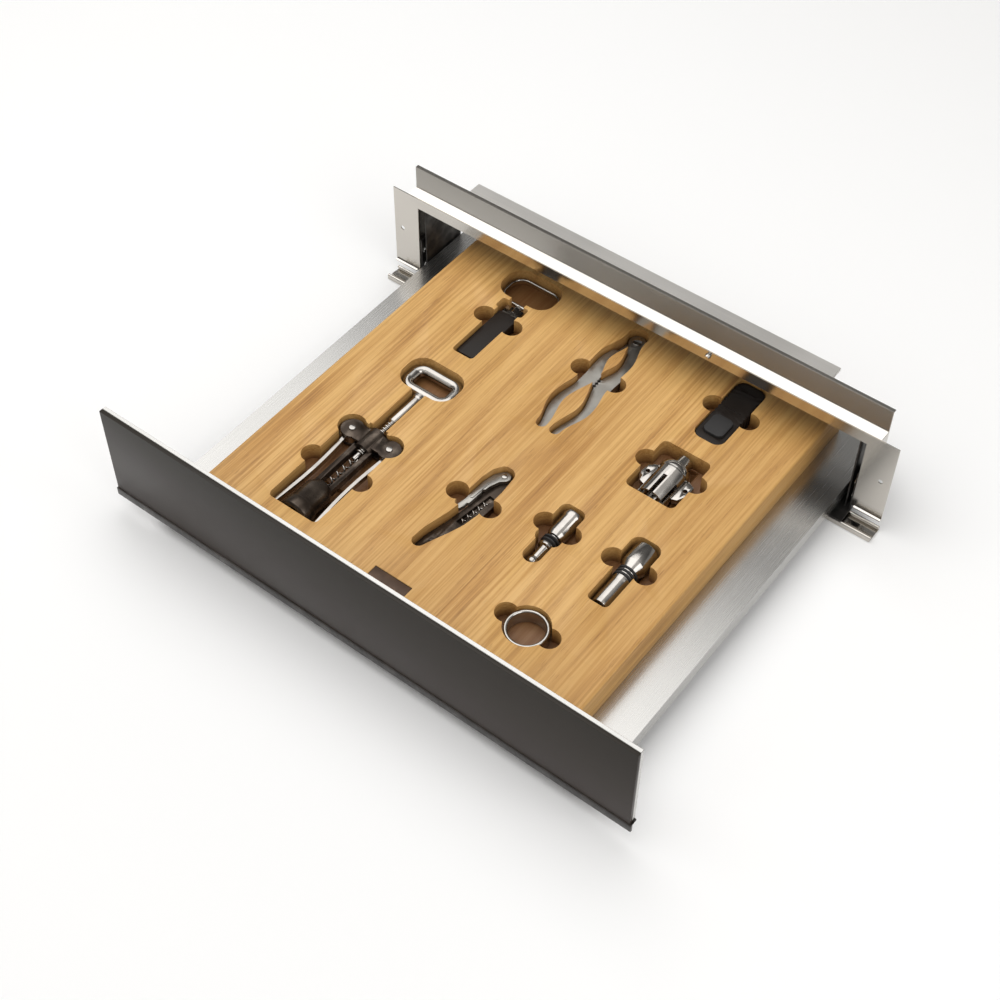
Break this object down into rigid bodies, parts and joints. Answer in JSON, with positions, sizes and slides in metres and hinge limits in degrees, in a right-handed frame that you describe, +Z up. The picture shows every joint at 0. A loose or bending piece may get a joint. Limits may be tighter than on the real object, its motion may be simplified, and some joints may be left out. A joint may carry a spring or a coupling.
{
  "type": "built-in drawer with tool insert",
  "caption": "Shallow built-in drawer on roller guides, with a dark glass front, a steel portal frame and an oak insert holding wine tools.",
  "frame": {"origin": "midway between the two cabinet screws, on the rear face of the side flanges", "axes": "+X across the width to the right as seen from the front, +Y into the cabinet, +Z up"},
  "size_m": [0.599, 0.4988, 0.145],
  "materials": {
    "frame_steel": "satin, finely brushed along the width",
    "tray_steel": "bright satin",
    "guide_steel": "dark oiled finish",
    "pin_steel": "bright",
    "guide_plastic": "satin moulded",
    "buffer_rubber": "matt",
    "front_glass": "polished, dark warm tint, backed",
    "grip_dark": "satin anodised",
    "oak": "oiled, straight grain along the depth",
    "plate_dark": "satin, blank",
    "tool_chrome": "polished",
    "tool_satin": "satin, forged and tumbled",
    "tool_dark": "gunmetal, satin",
    "tool_black": "satin moulded",
    "tool_rubber": "matt"
  },
  "bodies": {
    "frame": {"front_frame": "frame_steel", "rebate_profile": "frame_steel", "top_plate": "frame_steel", "side_post_left": "frame_steel", "side_post_right": "frame_steel", "collar_top": "guide_steel", "cross_rail": "frame_steel", "guide_bracket_left": "guide_steel", "guide_bracket_right": "guide_steel", "roller_axles": "pin_steel", "bracket_rivets": "pin_steel", "latch_body": "guide_plastic", "latch_spring": "pin_steel"},
    "plunger": {"latch_plunger": "pin_steel"},
    "drawer": {"drawer_tray": "tray_steel", "drawer_rail_left": "guide_steel", "drawer_rail_right": "guide_steel", "rail_end_stops": "buffer_rubber", "front_carrier": "tray_steel", "front_glass": "front_glass", "grip_profile": "grip_dark", "front_blocks": "tray_steel", "front_screws": "pin_steel", "front_buffers": "buffer_rubber", "strike_plate": "tray_steel", "oak_base_board": "oak", "oak_top_board": "oak", "name_plate": "plate_dark"},
    "corkscrew": {"corkscrew_frame": "tool_dark", "corkscrew_spindle": "tool_chrome", "corkscrew_ring": "tool_chrome", "corkscrew_worm": "tool_chrome", "corkscrew_lever_left": "tool_chrome", "corkscrew_lever_right": "tool_chrome", "corkscrew_pins": "tool_chrome"},
    "puller": {"puller_handle": "tool_chrome", "puller_blades": "pin_steel", "puller_sheath": "tool_black"},
    "pliers": {"pliers_left_half": "tool_satin", "pliers_right_half": "tool_satin", "pliers_pivot": "tool_chrome"},
    "cutter": {"cutter_body": "tool_black", "cutter_pad": "tool_rubber"},
    "waiter_knife": {"waiter_handle": "tool_dark", "waiter_lever": "tool_satin", "waiter_worm": "tool_chrome", "waiter_pins": "tool_chrome"},
    "stopper": {"stopper_body": "tool_chrome", "stopper_seal": "tool_rubber"},
    "pourer": {"pourer_body": "tool_chrome", "pourer_seal": "tool_rubber"},
    "bottle_cap": {"sparkling_cap": "tool_chrome", "sparkling_grip": "tool_chrome"},
    "drip_collar": {"drip_ring": "tool_chrome"},
    "roller_left_1": {"roller_left_1": "guide_plastic"},
    "roller_left_2": {"roller_left_2": "guide_plastic"},
    "roller_left_3": {"roller_left_3": "guide_plastic"},
    "roller_right_1": {"roller_right_1": "guide_plastic"},
    "roller_right_2": {"roller_right_2": "guide_plastic"},
    "roller_right_3": {"roller_right_3": "guide_plastic"}
  },
  "joints": [
    {"name": "drawer_slide", "type": "slide", "parent": "frame", "child": "drawer", "axis": [0, 1, 0], "range_m": [0, 0.409]},
    {"name": "latch_press", "type": "slide", "parent": "frame", "child": "plunger", "axis": [0, 1, 0], "range_m": [0, 0.0035], "stiffness_N_per_m": 300},
    {"name": "roller_left_1_turn", "type": "hinge", "parent": "frame", "child": "roller_left_1", "pos_m": [-0.249, 0.01, -0.041], "axis": [1, 0, 0], "range_deg": [-3920, 10]},
    {"name": "roller_left_2_turn", "type": "hinge", "parent": "frame", "child": "roller_left_2", "pos_m": [-0.249, 0.036, -0.041], "axis": [1, 0, 0], "range_deg": [-3920, 10]},
    {"name": "roller_left_3_turn", "type": "hinge", "parent": "frame", "child": "roller_left_3", "pos_m": [-0.249, 0.062, -0.041], "axis": [1, 0, 0], "range_deg": [-10, 3920]},
    {"name": "roller_right_1_turn", "type": "hinge", "parent": "frame", "child": "roller_right_1", "pos_m": [0.249, 0.01, -0.041], "axis": [1, 0, 0], "range_deg": [-3920, 10]},
    {"name": "roller_right_2_turn", "type": "hinge", "parent": "frame", "child": "roller_right_2", "pos_m": [0.249, 0.036, -0.041], "axis": [1, 0, 0], "range_deg": [-3920, 10]},
    {"name": "roller_right_3_turn", "type": "hinge", "parent": "frame", "child": "roller_right_3", "pos_m": [0.249, 0.062, -0.041], "axis": [1, 0, 0], "range_deg": [-10, 3920]},
    {"name": "corkscrew_lift", "type": "slide", "parent": "drawer", "child": "corkscrew", "axis": [0, 0, 1], "range_m": [0, 0.024]},
    {"name": "puller_lift", "type": "slide", "parent": "drawer", "child": "puller", "axis": [0, 0, 1], "range_m": [0, 0.024]},
    {"name": "pliers_lift", "type": "slide", "parent": "drawer", "child": "pliers", "axis": [0, 0, 1], "range_m": [0, 0.024]},
    {"name": "cutter_lift", "type": "slide", "parent": "drawer", "child": "cutter", "axis": [0, 0, 1], "range_m": [0, 0.024]},
    {"name": "waiter_knife_lift", "type": "slide", "parent": "drawer", "child": "waiter_knife", "axis": [0, 0, 1], "range_m": [0, 0.024]},
    {"name": "stopper_lift", "type": "slide", "parent": "drawer", "child": "stopper", "axis": [0, 0, 1], "range_m": [0, 0.024]},
    {"name": "pourer_lift", "type": "slide", "parent": "drawer", "child": "pourer", "axis": [0, 0, 1], "range_m": [0, 0.024]},
    {"name": "bottle_cap_lift", "type": "slide", "parent": "drawer", "child": "bottle_cap", "axis": [0, 0, 1], "range_m": [0, 0.024]},
    {"name": "drip_collar_lift", "type": "slide", "parent": "drawer", "child": "drip_collar", "axis": [0, 0, 1], "range_m": [0, 0.024]}
  ],
  "couplings": [
    {"joint": "roller_left_1_turn", "follows": "drawer_slide", "rad_per_m": -166.67},
    {"joint": "roller_left_2_turn", "follows": "drawer_slide", "rad_per_m": -166.67},
    {"joint": "roller_left_3_turn", "follows": "drawer_slide", "rad_per_m": 166.67},
    {"joint": "roller_right_1_turn", "follows": "drawer_slide", "rad_per_m": -166.67},
    {"joint": "roller_right_2_turn", "follows": "drawer_slide", "rad_per_m": -166.67},
    {"joint": "roller_right_3_turn", "follows": "drawer_slide", "rad_per_m": 166.67}
  ]
}
